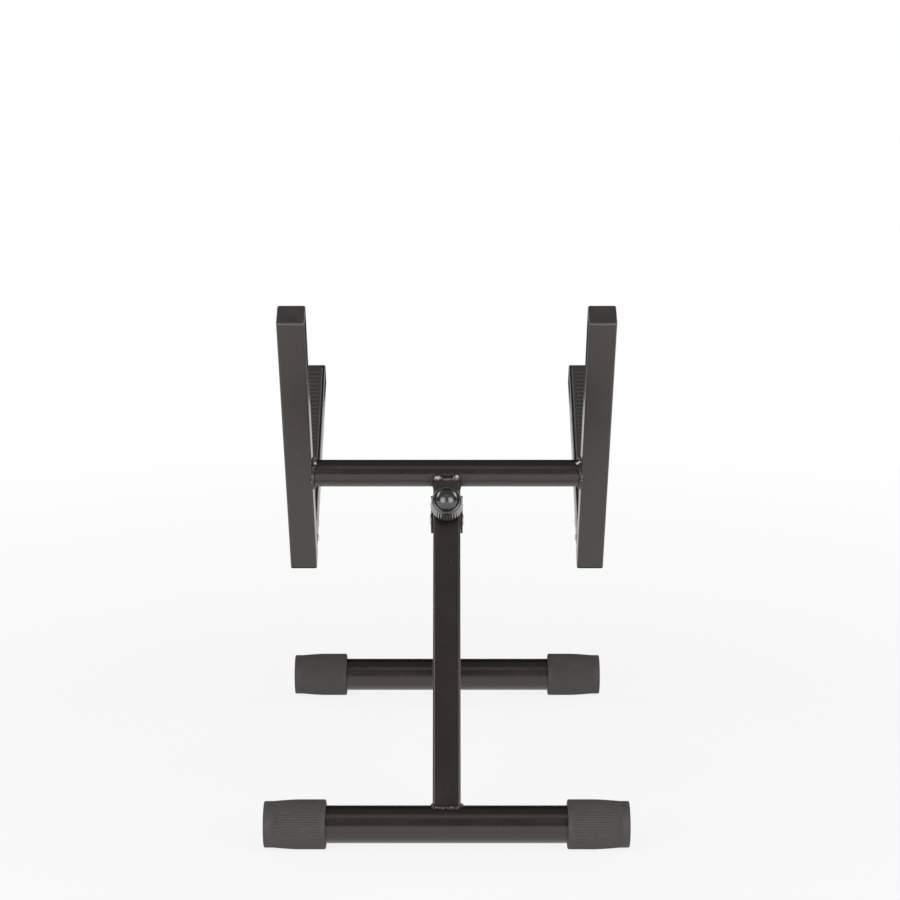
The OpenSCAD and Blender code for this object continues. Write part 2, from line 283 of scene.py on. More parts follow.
def knob_plastic():
    """Black moulded plastic of the fluted grip: glossy, with a little haze."""
    plastic = Finish("fluted_knob_plastic", IOR=1.7, Coat_Weight=0.6, Coat_Roughness=0.08)
    cloud = plastic.noise(plastic.place, 160, 4)
    grain = plastic.noise(plastic.place, 2400, 2)
    plastic.shade("Base Color", plastic.mix(cloud, *KNOB_TONES))
    plastic.shade("Roughness", 0.12 + cloud * 0.12)
    plastic.bump(grain, 0.00002)
    return plastic.material


def dome_plastic():
    """Polished black plastic of the knob's domed cap, with hairline scratches."""
    plastic = Finish("polished_dome_plastic", IOR=1.7, Coat_Weight=1.0, Coat_Roughness=0.19)
    hairline = plastic.noise(plastic.stretched((1.0, 9.0, 9.0)), 260, 2).above(0.62, 0.05)
    haze = plastic.noise(plastic.place, 220, 3)
    plastic.shade("Base Color", plastic.mix(haze, *DOME_TONES))
    plastic.shade("Roughness", 0.24 + haze * 0.10 + hairline * 0.12)
    plastic.bump(hairline, 0.000004)
    return plastic.material


def bare_metal(name, bright, dull):
    """Zinc plate or turned steel: cloudy, faintly brushed, with small dull spots."""
    metal = Finish(name, Metallic=1.0)
    cloud = metal.noise(metal.place, 240, 4)
    brushed = metal.noise(metal.stretched((1.0, 12.0, 12.0)), 500, 3)
    spots = metal.noise(metal.place, 900, 3).above(0.60, 0.10)
    tone = metal.mix(cloud, [c * 0.82 for c in bright], bright)
    metal.shade("Base Color", metal.mix(spots * 0.5, tone, dull))
    metal.shade("Roughness", 0.26 + brushed * 0.14 + spots * 0.2)
    metal.bump(brushed, 0.00001)
    return metal.material


FINISHES = {
    "frame_steel": powder_coat("satin_black_powder_coat", 0.0),
    "cap_rubber": cap_rubber(),
    "pad_rubber": pad_rubber(),
    "plug_plastic": plug_plastic(),
    "knob_plastic": knob_plastic(),
    "plated_steel": bare_metal("zinc_plated_pins", ZINC, DULL_ZINC),
    "bush_steel": bare_metal("plain_turned_steel", TURNED_STEEL, DULL_STEEL),
}
DOME_FINISH = dome_plastic()
# Painted shade: darker, duller copies of the plug plastic and the frame's coat, for the plugs under the uprights
# and the hinge bracket.
LOW_PLUG_SHADED_FINISH = shaded_dull_black("dull_plug_plastic", 0.15, LOW_PLUG_SHADED_TONE)
BRACKET_SHADED_FINISH = shaded_dull_black("dull_bracket_coat", 0.30, BRACKET_SHADED_TONE)
WELD_FINISH = powder_coat("pooled_black_powder_coat", 1.0)
WET_FINISH = powder_coat("wet_black_powder_coat", 1.0, pool_start=0.25, gloss=1.9)

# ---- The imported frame: places, bodies and slots ----

record = frame["record"]
JOINTS = {joint["name"]: joint for joint in frame["joints"]}
MOUNTS = {mount["name"]: mount for mount in record["mounts"]}
BODY_OF = {node: body for body, nodes in record["behaviour"]["bodies"].items() for node in nodes}
SLOT_OF = {part["node"]: part["material_slot"] for part in record["subparts"]}


def axes(up, origin=(0, 0, 0), across=X_AXIS):
    """A place whose Z is up and whose X is across, as a matrix."""
    z = Vector(up).normalized()
    x = (across - z * across.dot(z)).normalized()
    return Matrix.LocRotScale(Vector(origin), Matrix((x, z.cross(x), z)).transposed(), None)


def extent(node, place):
    """Lowest and highest corner of a node, measured in a place's own axes."""
    inverse = place.inverted()
    corners = [inverse @ v.co for v in frame["nodes"][node].data.vertices]
    return [Vector([pick(c[i] for c in corners) for i in range(3)]) for pick in (min, max)]


CLAMP_OUT = Vector(JOINTS["lock_knob_turn"]["axis"])    # from the rear leg to the knob
REAR_UP = X_AXIS.cross(CLAMP_OUT) * -1                  # along the rear leg
UPRIGHT_UP = Vector(MOUNTS["left_shelf_rest"]["axis"])  # along the uprights
FORWARD = UPRIGHT_UP.cross(X_AXIS)                      # along the shelf arms


def centre(node):
    """The middle of a node's box."""
    low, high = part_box(node)
    return (low + high) / 2


REAR_FOOT, FRONT_FOOT = centre("rear_foot_tube"), centre("front_foot_tube")
CROSSBAR = centre("crossbar")
LEG_HINGE = Vector(JOINTS["front_leg_fold"]["pos_m"])
FRONT_UP = (LEG_HINGE - FRONT_FOOT).normalized()
FOOT_R = (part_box("rear_foot_tube")[1].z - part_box("rear_foot_tube")[0].z) / 2
CROSSBAR_R = (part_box("crossbar")[1].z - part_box("crossbar")[0].z) / 2
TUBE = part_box("left_upright")[1].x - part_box("left_upright")[0].x
TUBE_CORNER = 2 * MM

# ---- Shapes ----


def arc(middle, radius, start, end, steps):
    """Points along an arc in a section, as (radius, height). Angles in degrees."""
    turns = [radians(start + (end - start) * i / steps) for i in range(steps + 1)]
    return [(middle[0] + radius * cos(t), middle[1] + radius * sin(t)) for t in turns]


def mesh_object(name, verts, faces):
    mesh = bpy.data.meshes.new(name)
    mesh.from_pydata([tuple(v) for v in verts], [], faces)
    thing = bpy.data.objects.new(name, mesh)
    bpy.context.scene.collection.objects.link(thing)
    return thing


def lofted(name, rings, hollow=False):
    """A closed solid through rings of equal length, with a flat face at both ends.

    A hollow one leads back to its first ring instead, as a tube's wall does.
    """
    count, total = len(rings[0]), len(rings)
    faces = [[i * count + j, i * count + (j + 1) % count,
              (i + 1) % total * count + (j + 1) % count, (i + 1) % total * count + j]
             for i in range(total if hollow else total - 1) for j in range(count)]
    if not hollow:
        faces += [list(range(count))[::-1], list(range((total - 1) * count, total * count))]
    return mesh_object(name, [v for ring in rings for v in ring], faces)


def ring(radius, height, steps):
    """A ring of points about Z."""
    turns = [2 * pi * i / steps for i in range(steps)]
    return [(radius * cos(t), radius * sin(t), height) for t in turns]


def turned(name, section, steps):
    """A solid of revolution about Z. The section runs upwards from axis to axis."""
    piece = lofted(name, [ring(r, z, steps) for r, z in section[1:-1]])
    form = bmesh.new()
    form.from_mesh(piece.data)
    for (_, height), face in zip((section[0], section[-1]), form.faces[-2:]):
        tip = bmesh.ops.poke(form, faces=[face])["verts"][0]
        tip.co = (0, 0, height)
    form.to_mesh(piece.data)
    form.free()
    return piece


def rounded_square(side, corner, height, steps=6):
    """A ring round a square with rounded corners."""
    reach = side / 2 - corner
    points = []
    for quarter in range(4):
        turn = quarter * 90
        middle = [reach * round(sqrt(2) * f(radians(turn + 45))) for f in (cos, sin)]
        points += [(x, y, height) for x, y in arc(middle, corner, turn, turn + 90, steps)]
    return points


def set_down(piece, place, sharp=35):
    """Puts a piece in its place, with normals outwards and smooth shading up to an angle."""
    mesh = piece.data
    form = bmesh.new()
    form.from_mesh(mesh)
    bmesh.ops.remove_doubles(form, verts=form.verts, dist=1e-7)
    bmesh.ops.recalc_face_normals(form, faces=form.faces)
    form.to_mesh(mesh)
    form.free()
    mesh.transform(place)
    mesh.polygons.foreach_set("use_smooth", [True] * len(mesh.polygons))
    mesh.set_sharp_from_angle(angle=radians(sharp))
    return piece


def carry(piece, body, slot, nodes=(), finish=None):
    """Gives a piece its finish, the body it rides on and the nodes it stands for."""
    piece.data.materials.clear()
    piece.data.materials.append(finish or FINISHES[slot])
    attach(piece, body)
    if nodes:
        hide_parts(*nodes)


def stand_for(piece, node, finish=None):
    """Lets a piece take a node's place, body and slot."""
    carry(piece, BODY_OF[node], SLOT_OF[node], [node], finish)


# ---- Geometry Nodes: patterns, weld beads and ribs ----


def new_tree(name, **kinds):
    """A geometry tree with a Geometry input, a Material input and those that are named."""
    tree = bpy.data.node_groups.new(name, "GeometryNodeTree")
    sockets = {"Geometry": "Geometry", "Material": "Material", **kinds}
    for socket, kind in sockets.items():
        tree.interface.new_socket(socket.replace("_", " "), in_out="INPUT",
                                  socket_type="NodeSocket" + kind)
    tree.interface.new_socket("Geometry", in_out="OUTPUT", socket_type="NodeSocketGeometry")
    graph = Graph(tree)
    return graph, graph.add("NodeGroupInput", output="Geometry")


def close_tree(graph, geometry, given):
    """Ends a tree: realized, and in its material."""
    real = graph.add("GeometryNodeRealizeInstances", None, {"Geometry": geometry})
    painted = graph.add("GeometryNodeSetMaterial", None,
                        {"Geometry": real, "Material": given.other("Material")})
    graph.add("NodeGroupOutput", None, {"Geometry": painted})
    return graph.tree


def grown(name, source, tree, material, **values):
    """Runs a tree on an object, and keeps the result as a plain mesh."""
    modifier = source.modifiers.new(tree.name, "NODES")
    modifier.node_group = tree
    wanted = {"Material": material, **{k.replace("_", " "): v for k, v in values.items()}}
    for item in tree.interface.items_tree:
        if item.in_out == "INPUT" and item.name in wanted:
            modifier[item.identifier] = wanted[item.name]
    depsgraph = bpy.context.evaluated_depsgraph_get()
    mesh = bpy.data.meshes.new_from_object(source.evaluated_get(depsgraph))
    bpy.data.objects.remove(source)
    mesh.name = name
    piece = bpy.data.objects.new(name, mesh)
    bpy.context.scene.collection.objects.link(piece)
    return piece


def pattern_tree(name, cut):
    """Sinks a pattern into a piece that was turned about Z.

    The pattern repeats Count times round the piece, and leans by Lead turns for each metre
    of height. cut gives the depth, from 0 to 1, across one repeat that runs from -1 to 1.
    """
    graph, given = new_tree(name, Count="Float", Lead="Float", Depth="Float", Start="Float",
                            End="Float", Fade="Float", Least_Radius="Float")
    place = graph.add("GeometryNodeInputPosition")
    x = graph.add("ShaderNodeSeparateXYZ", None, {"Vector": place}, "X")
    y, z = x.other("Y"), x.other("Z")
    radius = (x * x + y * y).math("SQRT")
    turn = y.math("ARCTAN2", x) / (2 * pi)
    across = (turn * given.other("Count") + z * given.other("Lead")).math("FRACT") * 2 - 1
    fade = given.other("Fade")
    within = z.above(given.other("Start"), fade) * (given.other("End") - z).above(0, fade)
    outer = radius.math("GREATER_THAN", given.other("Least Radius"))
    share = 1 - cut(across) * within * outer * given.other("Depth") / radius.math("MAXIMUM", 1e-6)
    moved = graph.add("ShaderNodeCombineXYZ", None, {"X": x * share, "Y": y * share, "Z": z})
    shaped = graph.add("GeometryNodeSetPosition", None, {"Geometry": given, "Position": moved})
    return close_tree(graph, shaped, given)


def rib_cut(across):
    """Half-round ribs that meet in narrow grooves."""
    return 1 - (1 - across * across).math("MAXIMUM", 0).math("SQRT")


def flute_cut(across):
    """Round flutes with rounded lands between them."""
    return (across * (pi / 2)).math("COSINE").math("MAXIMUM", 0).math("POWER", 1.3)


def thread_cut(across):
    """The flanks of a V thread."""
    return across.math("ABSOLUTE")


def weld_tree():
    """A weld bead along each spline: overlapping ripples, uneven in size, with round ends."""
    graph, given = new_tree("weld_bead", Bead_Radius="Float", Pitch="Float", Ripple="Float",
                            Lump="Float", Lump_Size="Float", Stray="Float", Seed="Float")
    pitch = given.other("Pitch")
    even = graph.add("GeometryNodeResampleCurve", {"mode": "LENGTH"},
                     {"Curve": given, "Length": pitch / 6})
    place = graph.add("GeometryNodeInputPosition")
    stray = graph.add("ShaderNodeTexNoise", {"noise_dimensions": "4D"},
                      {"Vector": place, "W": given.other("Seed") + 5,
                       "Scale": 1 / given.other("Lump Size"), "Detail": 1.0}, "Color")
    stray = graph.add("ShaderNodeVectorMath", {"operation": "SUBTRACT"},
                      {0: stray, 1: (0.5, 0.5, 0.5)})
    stray = graph.add("ShaderNodeVectorMath", {"operation": "SCALE"},
                      {0: stray, "Scale": given.other("Stray")})
    line = graph.add("GeometryNodeSetPosition", None, {"Geometry": even, "Offset": stray})
    along = graph.add("GeometryNodeSplineParameter", output="Length")
    ripple = (along / pitch).math("FRACT").math("SQRT") * given.other("Ripple")
    lump = graph.noise(place, 1 / given.other("Lump Size"), 2, {"noise_dimensions": "4D"},
                       W=given.other("Seed")) - 0.5
    length = graph.add("GeometryNodeSplineLength", output="Length")
    from_end = along.math("MINIMUM", length - along) / given.other("Bead Radius")
    blunt = (1 - (1 - from_end.math("MINIMUM", 1)).math("POWER", 2)).math("SQRT")
    blunt = blunt.math("MAXIMUM", graph.add("GeometryNodeInputSplineCyclic"))
    size = (1 - given.other("Ripple") / 2 + ripple + lump * given.other("Lump")) * blunt
    outline = graph.add("GeometryNodeCurvePrimitiveCircle", None,
                        {"Resolution": 14, "Radius": given.other("Bead Radius")})
    bead = graph.add("GeometryNodeCurveToMesh", None,
                     {"Curve": line, "Profile Curve": outline, "Scale": size, "Fill Caps": True})
    smooth = graph.add("GeometryNodeSetShadeSmooth", None, {"Geometry": bead})
    return close_tree(graph, smooth, given)


def rib_row_tree():
    """A row of round ribs on top of a pad, from its rear end forwards."""
    graph, given = new_tree("pad_ribs", Count="Int", Pitch="Float", Rib_Radius="Float",
                            Rib_Length="Float", First="Float", Height="Float")
    start = graph.add("ShaderNodeCombineXYZ", None,
                      {"Y": given.other("First"), "Z": given.other("Height")})
    step = graph.add("ShaderNodeCombineXYZ", None, {"Y": given.other("Pitch")})
    row = graph.add("GeometryNodeMeshLine", None,
                    {"Count": given.other("Count"), "Start Location": start, "Offset": step})
    rib = graph.add("GeometryNodeMeshCylinder", None,
                    {"Vertices": 20, "Radius": given.other("Rib Radius"),
                     "Depth": given.other("Rib Length")})
    ribs = graph.add("GeometryNodeInstanceOnPoints", None,
                     {"Points": row, "Instance": rib, "Rotation": (0, pi / 2, 0)})
    both = graph.add("GeometryNodeJoinGeometry", None, {"Geometry": given})
    graph.tree.links.new(ribs.socket, both.socket.node.inputs[0])
    return close_tree(graph, both, given)


RIBS = pattern_tree("lengthwise_ribs", rib_cut)
FLUTES = pattern_tree("knob_flutes", flute_cut)
THREAD = pattern_tree("screw_thread", thread_cut)
WELD = weld_tree()
RIB_ROW = rib_row_tree()

# ---- Rubber foot caps ----

CAP_RIBS = 60
CAP_STEPS_PER_RIB = 6
CAP_RIB_DEPTH = 0.55 * MM
CAP_END_SHARE = 41.8 / 44.8     # radius at the outer end, as a share of the largest
CAP_STRAIGHT = 24 * MM          # parallel part, at the inner end
CAP_BARREL = 1.5                # power of the taper: 1 would make it a cone
CAP_FLOOR = 5 * MM              # rubber in front of the tube's end
CAP_MOUTH = 0.6 * MM            # how much the bore widens at its mouth
CAP_LIP = 1.5 * MM              # rounding of the inner lip
CAP_EDGE = 1.1 * MM             # rounding of the outer end
CAP_DISH = 0.9 * MM             # depth of the dish in the outer end
CAP_COLLAR = 3.5 * MM           # smooth collar behind the lip
CAP_BAND = 6.5 * MM             # smooth band at the outer end
CAP_DISH_EDGE = 0.74, 0.70, 0.66        # radii of the dish's edge, as shares of the end's
COLLAR_RINGS = -0.6, 0, 0.4, 0.8, 1.2, 2        # where the ribs fade out, in millimetres past
BAND_RINGS = -1.4, -1, -0.6, -0.2, 0.2, 1       # the collar's end and past the band's start
CAP_RIB_FADE = 1.2 * MM


def cap_section(length, radius):
    """Outline of a cap, from inside its bore to the middle of its outer face."""
    end_r = radius * CAP_END_SHARE
    bore = FOOT_R
    taper = [i / 8 for i in range(9)]
    start, end = CAP_STRAIGHT, length - CAP_EDGE
    ribs_end = length - CAP_BAND
    section = [(0, length - CAP_FLOOR), (bore, length - CAP_FLOOR)]
    section += [(bore, 1 * MM), (bore + CAP_MOUTH, 0)]
    section += arc((radius - CAP_LIP, CAP_LIP), CAP_LIP, -90, 0, 6)
    section += [(radius, CAP_COLLAR + step * MM) for step in COLLAR_RINGS]
    section += [(radius - (radius - end_r) * t ** CAP_BARREL,
                 start + (ribs_end - 2 * MM - start) * t) for t in taper]
    section += [(end_r, ribs_end + step * MM) for step in BAND_RINGS]
    section += arc((end_r - CAP_EDGE, end), CAP_EDGE, 0, 90, 7)
    section += [(end_r * share, length - CAP_DISH * i / 2) for i, share in enumerate(CAP_DISH_EDGE)]
    return section + [(0, length - CAP_DISH)]


def foot_cap(node, side):
    """A barrel-shaped cap with fine ribs along it, a smooth band and a rolled lip."""
    low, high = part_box(node)
    middle = (low + high) / 2
    length, radius = high.x - low.x, (high.z - low.z) / 2
    inner = Vector((low.x if side == RIGHT else high.x, middle.y, middle.z))
    blank = turned(node + "_blank", cap_section(length, radius), CAP_RIBS * CAP_STEPS_PER_RIB)
    cap = grown(node.replace("_foot_cap", "_ribbed_cap"), blank, RIBS, FINISHES["cap_rubber"],
                Count=float(CAP_RIBS), Lead=0.0, Depth=CAP_RIB_DEPTH, Start=CAP_COLLAR,
                End=length - CAP_BAND, Fade=CAP_RIB_FADE, Least_Radius=FOOT_R + 2 * MM)
    stand_for(set_down(cap, axes(X_AXIS * side, inner, Vector((0, 0, 1)))), node)


# ---- Clamp knob, its screw and its boss ----

GRIP_FLUTES = 36
FLUTE_STEPS = 12
FLUTE_DEPTH = 0.55 * MM
FLUTE_FADE = 1.6 * MM
GRIP_TAPER = 1.5 * MM           # how much the grip narrows on each side, up to its shoulder
GRIP_EDGE = 0.7 * MM            # rounding of its base
GRIP_WALL = 2.6 * MM            # round the shallow hollow in its base
GRIP_HOLLOW = 1.2 * MM          # depth of that hollow
SHOULDER_START = 13.2 * MM      # where the flank bends into the shoulder, and the flutes end
SHOULDER_POWERS = 0.8, 1.05     # 1 and 1 would make the shoulder a quarter of an ellipse
LAND = 1.1 * MM                 # flat ring round the domed cap
SEAT_R = 10.25 * MM             # recess that the domed cap sits in
SEAT_GAP = 0.3 * MM
SEAT_DEPTH = 1.5 * MM
DOME_EDGE = 0.8 * MM            # rounding of the dome's rim
DOME_LIFT = 0.3 * MM            # straight part of the rim, above the grip's face
CROWN_SHARE = 0.93              # of the dome's arc: the rounded rim takes the rest
SCREW_PITCH = 1.25 * MM
THREAD_DEPTH = 0.65 * MM
THREAD_STEPS = 8                # rings for each turn
SCREW_TIP = 1 * MM              # chamfer at both ends
BOSS_EDGE = 0.9 * MM            # its chamfers
BOSS_GAP = 0.05 * MM            # round the screw


def on_clamp(node):
    """Radius, length and lower end of a node that is round about the clamp's axis."""
    low, high = extent(node, axes(CLAMP_OUT, centre(node)))
    return (high.x - low.x) / 2, high.z - low.z, centre(node) + CLAMP_OUT * low.z


def knob_grip():
    """The grip: a tapered, fluted flank, a smooth shoulder and a seat for the domed cap."""
    radius, height, foot = on_clamp("knob_grip")
    top = radius - GRIP_TAPER
    face = SEAT_R + LAND
    hollow = radius - GRIP_WALL
    inwards, upwards = SHOULDER_POWERS
    steps = [i / 12 for i in range(1, 13)]
    section = [(0, GRIP_HOLLOW), (hollow - 1 * MM, GRIP_HOLLOW), (hollow, 0)]
    section += arc((radius - GRIP_EDGE, GRIP_EDGE), GRIP_EDGE, -90, 0, 4)
    section += [(radius - GRIP_TAPER * t, GRIP_EDGE + (SHOULDER_START - GRIP_EDGE) * t)
                for t in steps]
    section += [(face + (top - face) * cos(pi / 2 * t) ** inwards,
                 SHOULDER_START + (height - SHOULDER_START) * sin(pi / 2 * t) ** upwards)
                for t in steps]
    section += [(SEAT_R + 0.8 * MM, height), (SEAT_R + SEAT_GAP + 0.1 * MM, height - 0.4 * MM),
                (SEAT_R + SEAT_GAP, height - SEAT_DEPTH), (0, height - SEAT_DEPTH)]
    blank = turned("grip_blank", section, GRIP_FLUTES * FLUTE_STEPS)
    grip = grown("fluted_grip", blank, FLUTES, FINISHES["knob_plastic"], Count=float(GRIP_FLUTES),
                 Lead=0.0, Depth=FLUTE_DEPTH, Start=-5 * MM, End=SHOULDER_START + 1 * MM,
                 Fade=FLUTE_FADE, Least_Radius=hollow + 0.5 * MM)
    stand_for(set_down(grip, axes(CLAMP_OUT, foot)), "knob_grip")


def knob_dome():
    """The polished cap in the knob's face: a dome with a rounded rim."""
    radius, height, foot = on_clamp("knob_cap")
    rim = SEAT_DEPTH + DOME_LIFT
    lean = 2 * atan2(height - rim - DOME_EDGE, radius - DOME_EDGE)
    crown_r = (radius - DOME_EDGE) / sin(lean) + DOME_EDGE
    section = [(0, 0), (radius, 0)]
    section += arc((radius - DOME_EDGE, rim), DOME_EDGE, 0, 90 - degrees(lean), 8)
    section += arc((0, height - crown_r), crown_r, 90 - degrees(lean) * CROWN_SHARE, 90, 16)
    dome = turned("polished_dome", section, 96)
    stand_for(set_down(dome, axes(CLAMP_OUT, foot)), "knob_cap", DOME_FINISH)


def clamp_screw():
    """The threaded rod through the rear leg, with a chamfered tip."""
    radius, length, foot = on_clamp("clamp_screw")
    straight = length - 2 * SCREW_TIP
    rings = round(straight / SCREW_PITCH * THREAD_STEPS)
    section = [(0, 0), (radius - SCREW_TIP, 0)]
    section += [(radius, SCREW_TIP + straight * i / rings) for i in range(rings + 1)]
    section += [(radius - SCREW_TIP, length), (0, length)]
    blank = turned("screw_blank", section, 32)
    screw = grown("threaded_rod", blank, THREAD, FINISHES["plated_steel"], Count=1.0,
                  Lead=1 / SCREW_PITCH, Depth=THREAD_DEPTH, Start=0.0, End=length, Fade=1 * MM,
                  Least_Radius=radius * 0.9)
    stand_for(set_down(screw, axes(CLAMP_OUT, foot)), "clamp_screw")


def clamp_boss():
    """The threaded boss behind the knob, with chamfered edges."""
    radius, height, foot = on_clamp("clamp_boss")
    bore = on_clamp("clamp_screw")[0] + BOSS_GAP
    outline = [(bore, 0), (radius, 0), (radius, height - BOSS_EDGE), (radius - BOSS_EDGE, height),
               (bore + BOSS_EDGE, height), (bore, height - BOSS_EDGE)]
    boss = lofted("chamfered_boss", [ring(r, z, 64) for r, z in outline], hollow=True)
    stand_for(set_down(boss, axes(CLAMP_OUT, foot)), "clamp_boss")


# ---- End plugs ----

PLUG_FLANGE = 2 * MM
PLUG_EDGE = 1.2 * MM            # rounding round a plug's face
LOW_PLUG_EDGE = 0.4 * MM        # and round those under the uprights
PLUG_CROWN = 0.25 * MM          # how far the middle of the face stands below its top
PLUG_FACE = 0.62, 0.58          # sides of the crown's step, as shares of the plug's
STUB_IN = 1.6 * MM              # from the tube's side to the stub's
STUB_WALL = 1.6 * MM
STUB_CORNER, STUB_BORE_CORNER = 0.8 * MM, 0.6 * MM


def end_plug(node, out):
    """A square plug: a flange with rounded edges, on a hollow stub inside the tube."""
    # The plugs under the uprights get a darker, duller copy of the plug plastic: painted shade.
    edge, finish = ((LOW_PLUG_EDGE, LOW_PLUG_SHADED_FINISH) if "bottom" in node else
                    (PLUG_EDGE, FINISHES["plug_plastic"]))
    place = axes(out, centre(node))
    low, high = extent(node, place)
    side, length = high.x - low.x, high.z - low.z
    flange = length - PLUG_FLANGE
    stub = TUBE - 2 * STUB_IN
    bore = stub - 2 * STUB_WALL
    rings = [rounded_square(bore, STUB_BORE_CORNER, flange), rounded_square(bore, STUB_BORE_CORNER, 0),
             rounded_square(stub, STUB_CORNER, 0), rounded_square(stub, STUB_CORNER, flange),
             rounded_square(side, TUBE_CORNER, flange)]
    for step in range(7):
        turn = pi / 2 * step / 6
        inset = edge * (1 - cos(turn))
        rings.append(rounded_square(side - 2 * inset, max(TUBE_CORNER - inset, 0.5 * MM),
                                    length - edge * (1 - sin(turn))))
    rings.append(rounded_square(side * PLUG_FACE[0], 2.4 * MM, length - PLUG_CROWN * 0.2))
    rings.append(rounded_square(side * PLUG_FACE[1], 2.2 * MM, length - PLUG_CROWN))
    plug = lofted(node.replace("_plug", "_moulded_plug"), rings)
    # Painted highlight: the flange's side and the lower half of its rounded edge are marked to be painted paler.
    edge_marks = plug.data.attributes.new(EDGE_HIGHLIGHT, "FLOAT", "POINT")
    first = 4 * len(rings[0])
    for index in range(first, first + 5 * len(rings[0])):
        edge_marks.data[index].value = 1.0
    plug.data.transform(Matrix.Translation((0, 0, low.z)))
    stand_for(set_down(plug, place), node, finish)


# ---- Riveted pins ----

HEAD_RATIO = 1.4                # head's diameter over its shank's
HEAD_HEIGHT = 1.2 * MM
HEAD_EDGE = 0.3 * MM            # straight edge of a head
HEAD_DOME = 0.9                 # power of its dome: 1 would make half an ellipse


def riveted_pin(node):
    """A pin with a low domed head at each end."""
    low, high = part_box(node)
    length = high.x - low.x
    head_r = (high.z - low.z) / 2
    rise = HEAD_HEIGHT - HEAD_EDGE
    head = [(head_r / HEAD_RATIO, 0), (head_r, 0), (head_r, HEAD_EDGE)]
    head += [(head_r * cos(pi / 2 * t), HEAD_EDGE + rise * sin(pi / 2 * t) ** HEAD_DOME)
             for t in (i / 8 for i in range(1, 8))]
    grip = length / 2 - HEAD_HEIGHT
    upper = [(r, grip + z) for r, z in head] + [(0, length / 2)]
    section = [(r, -z) for r, z in reversed(upper)] + upper
    pin = turned(node.replace("_pin", "_rivet"), section, 40)
    stand_for(set_down(pin, axes(X_AXIS, (low + high) / 2, Vector((0, 0, 1)))), node)


# ---- Folded plates: copies of their solids, with softened edges ----

BEND_R = 1.6 * MM
PLATE_EDGE = 0.35 * MM
NEAR = 0.1 * MM                 # edges this close to a bend's line are on it


def folded_plate(node, name, bends, finish=None):
    """A node's own shape with rounded bends and softened edges."""
    piece = bpy.data.objects.new(name, frame["nodes"][node].data.copy())
    bpy.context.scene.collection.objects.link(piece)
    form = bmesh.new()
    form.from_mesh(piece.data)
    bmesh.ops.remove_doubles(form, verts=form.verts, dist=1e-6)
    bmesh.ops.dissolve_limit(form, angle_limit=radians(1), verts=form.verts, edges=form.edges)
    weight = form.edges.layers.float.new("bevel_weight_edge")
    for edge in form.edges:
        if edge.calc_face_angle(0) > radians(40):
            edge[weight] = 1.0 if bends(edge) else PLATE_EDGE / BEND_R
    form.to_mesh(piece.data)
    form.free()
    bevel = piece.modifiers.new("edges", "BEVEL")
    bevel.limit_method = "WEIGHT"
    bevel.width = BEND_R
    bevel.segments = 3
    bevel.harden_normals = True
    depsgraph = bpy.context.evaluated_depsgraph_get()
    softened = bpy.data.meshes.new_from_object(piece.evaluated_get(depsgraph))
    piece.modifiers.clear()
    piece.data = softened
    stand_for(set_down(piece, Matrix.Identity(4), 50), node, finish)


def hinge_bracket():
    """The bracket on the front of the rear leg, bent from one plate."""
    place = axes(REAR_UP, centre("hinge_bracket"))
    low, high = extent("hinge_bracket", place)
    inverse = place.inverted()

    def is_bend(edge):
        ends = [inverse @ v.co for v in edge.verts]
        back = all(abs(e.y - low.y) < NEAR for e in ends)
        outer = all(abs(abs(e.x) - high.x) < NEAR for e in ends)
        return back and outer

    # The bracket gets a darker, duller copy of the frame's coat: painted shade.
    folded_plate("hinge_bracket", "folded_hinge_bracket", is_bend, BRACKET_SHADED_FINISH)


def shelf_lugs():
    """The lugs at the foot of the uprights, with every edge softened alike."""
    for side in SIDES:
        folded_plate(f"{side}_shelf_lug", f"{side}_folded_lug", lambda edge: False)


# ---- Shelf pads ----

PAD_RIB_PITCH = 6 * MM
PAD_RIB_R = 1.5 * MM
PAD_RIB_HEIGHT = 0.9 * MM
PAD_EDGE = 2.4 * MM
PAD_END = (0, 0.9), (0.4 * MM, 0.97), (1.2 * MM, 1)     # way in, and share of the full section


def shelf_pad(side):
    """A rubber strip with rounded edges and cross ribs on top."""
    node = f"{side}_shelf_pad"
    place = axes(UPRIGHT_UP, centre(node))
    low, high = extent(node, place)
    size = high - low
    top = size.z - PAD_RIB_HEIGHT
    half = size.x / 2
    outline = [(-half, 0), (half, 0)]
    outline += arc((half - PAD_EDGE, top - PAD_EDGE), PAD_EDGE, 0, 90, 6)
    outline += arc((PAD_EDGE - half, top - PAD_EDGE), PAD_EDGE, 90, 180, 6)
    soft = [(way - size.y / 2, share) for way, share in PAD_END]
    stations = soft + [(-y, share) for y, share in reversed(soft)]
    rings = [[(x * share, y, z * (share + 1) / 2) for x, z in outline] for y, share in stations]
    strip = lofted(node + "_strip", rings)
    count = int((size.y - 2 * PAD_RIB_PITCH) / PAD_RIB_PITCH) + 1
    pad = grown(f"{side}_ribbed_pad", strip, RIB_ROW, FINISHES["pad_rubber"], Count=count,
                Pitch=PAD_RIB_PITCH, Rib_Radius=PAD_RIB_R, Rib_Length=size.x - 2 * PAD_EDGE,
                First=-(count - 1) * PAD_RIB_PITCH / 2, Height=size.z - PAD_RIB_R)
    pad.data.transform(Matrix.Translation((0, 0, low.z)))
    stand_for(set_down(pad, place), node)


# ---- Weld beads ----

WELD_PITCH = 2.4 * MM           # from one ripple to the next
WELD_RIPPLE = 0.40              # their height, as a share of the bead's radius
LUMP_SIZE = 2.8 * MM
SADDLE_CORNER = 3 * MM


